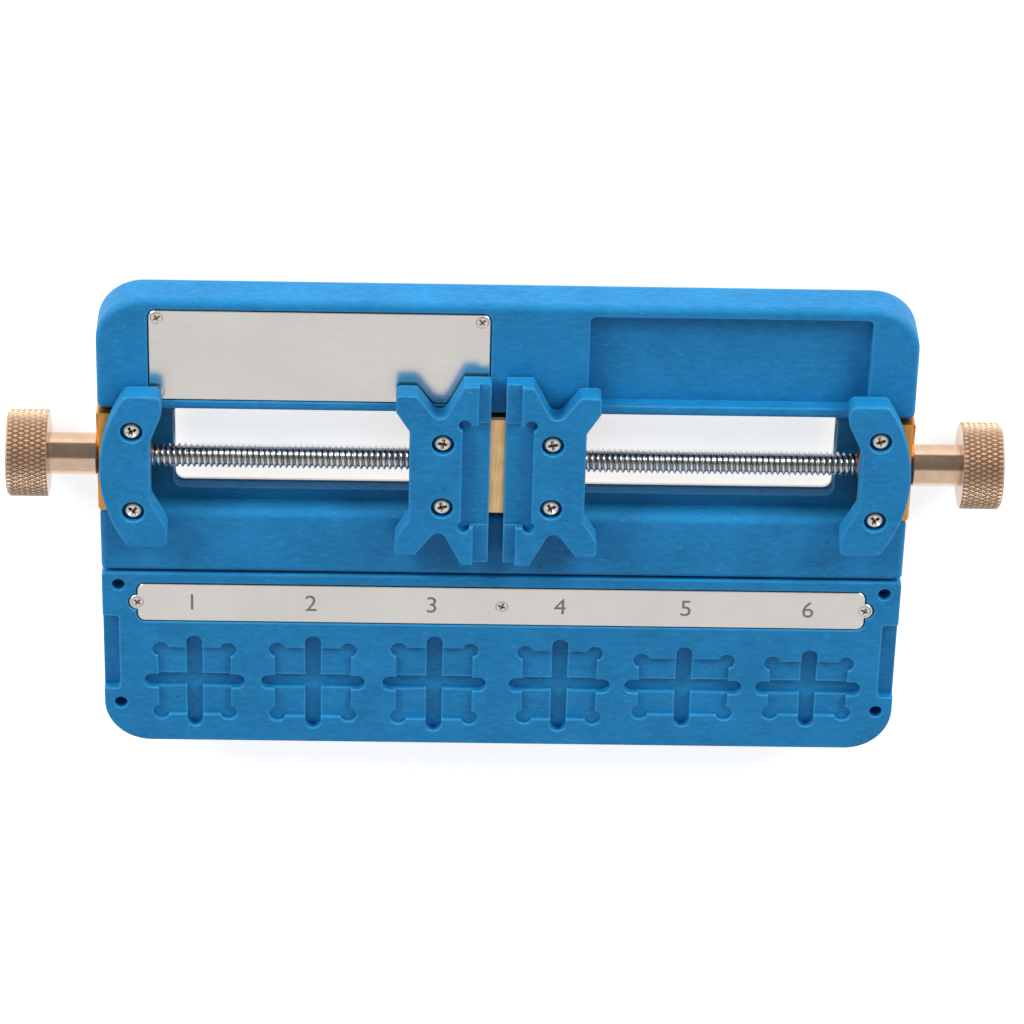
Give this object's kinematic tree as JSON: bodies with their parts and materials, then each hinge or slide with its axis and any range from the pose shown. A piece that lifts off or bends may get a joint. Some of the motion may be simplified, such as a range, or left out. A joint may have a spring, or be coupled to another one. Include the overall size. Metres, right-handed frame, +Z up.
{
  "type": "circuit board holder vise",
  "caption": "Low two-sided board holder: each knob turns a lead screw that drives a notched jaw towards a fixed jaw, above a block with through windows and a chip tray.",
  "frame": {"origin": "middle of the footprint on the surface that the feet stand on", "axes": "+X along the two lead screws to the right-hand knob, +Y to the rear edge with the name plate, +Z up"},
  "size_m": [0.1898, 0.099, 0.0175],
  "materials": {
    "blue_stone": "milled glass-fibre composite board, fine tool marks, matt",
    "stainless": "brushed sheet",
    "brass": "milled, fine",
    "knob_metal": "rose-gold anodised, diamond knurled",
    "zinc_screw": "bright zinc, rolled thread",
    "plated_screw": "nickel plated",
    "bearing_steel": "polished",
    "rubber": "moulded, matt"
  },
  "bodies": {
    "base": {"base_plate": "stainless", "rubber_feet": "rubber", "main_body": "blue_stone", "chip_tray": "blue_stone", "name_plate": "stainless", "label_strip": "stainless", "name_plate_screws": "plated_screw", "label_strip_screws": "plated_screw", "body_screws": "plated_screw", "tray_screws": "plated_screw", "block_screws": "plated_screw", "outer_jaw_screws": "plated_screw", "centre_block": "brass", "left_end_block": "brass", "left_outer_jaw": "blue_stone", "left_bearing_outer_ring": "bearing_steel", "left_bearing_balls": "bearing_steel", "right_end_block": "brass", "right_outer_jaw": "blue_stone", "right_bearing_outer_ring": "bearing_steel", "right_bearing_balls": "bearing_steel"},
    "left_screw": {"left_lead_screw": "zinc_screw", "left_knob": "knob_metal", "left_knob_grub_screw": "plated_screw", "left_thrust_washer": "brass", "left_bearing_inner_ring": "bearing_steel"},
    "left_carriage": {"left_slider": "brass", "left_jaw": "blue_stone", "left_jaw_screws": "plated_screw"},
    "right_screw": {"right_lead_screw": "zinc_screw", "right_knob": "knob_metal", "right_knob_grub_screw": "plated_screw", "right_thrust_washer": "brass", "right_bearing_inner_ring": "bearing_steel"},
    "right_carriage": {"right_slider": "brass", "right_jaw": "blue_stone", "right_jaw_screws": "plated_screw"}
  },
  "joints": [
    {"name": "left_screw_turn", "type": "hinge", "parent": "base", "child": "left_screw", "pos_m": [-0.09, 0.0148, 0.0092], "axis": [1, 0, 0], "range_deg": [-864, 14040]},
    {"name": "left_jaw_slide", "type": "slide", "parent": "base", "child": "left_carriage", "axis": [-1, 0, 0], "range_m": [-0.00265, 0.04291]},
    {"name": "right_screw_turn", "type": "hinge", "parent": "base", "child": "right_screw", "pos_m": [0.09, 0.0148, 0.0092], "axis": [-1, 0, 0], "range_deg": [0, 15120]},
    {"name": "right_jaw_slide", "type": "slide", "parent": "base", "child": "right_carriage", "axis": [1, 0, 0], "range_m": [0, 0.04621]}
  ],
  "couplings": [
    {"joint": "left_jaw_slide", "follows": "left_screw_turn", "m_per_rad": 0.00017507},
    {"joint": "right_jaw_slide", "follows": "right_screw_turn", "m_per_rad": 0.00017507}
  ]
}
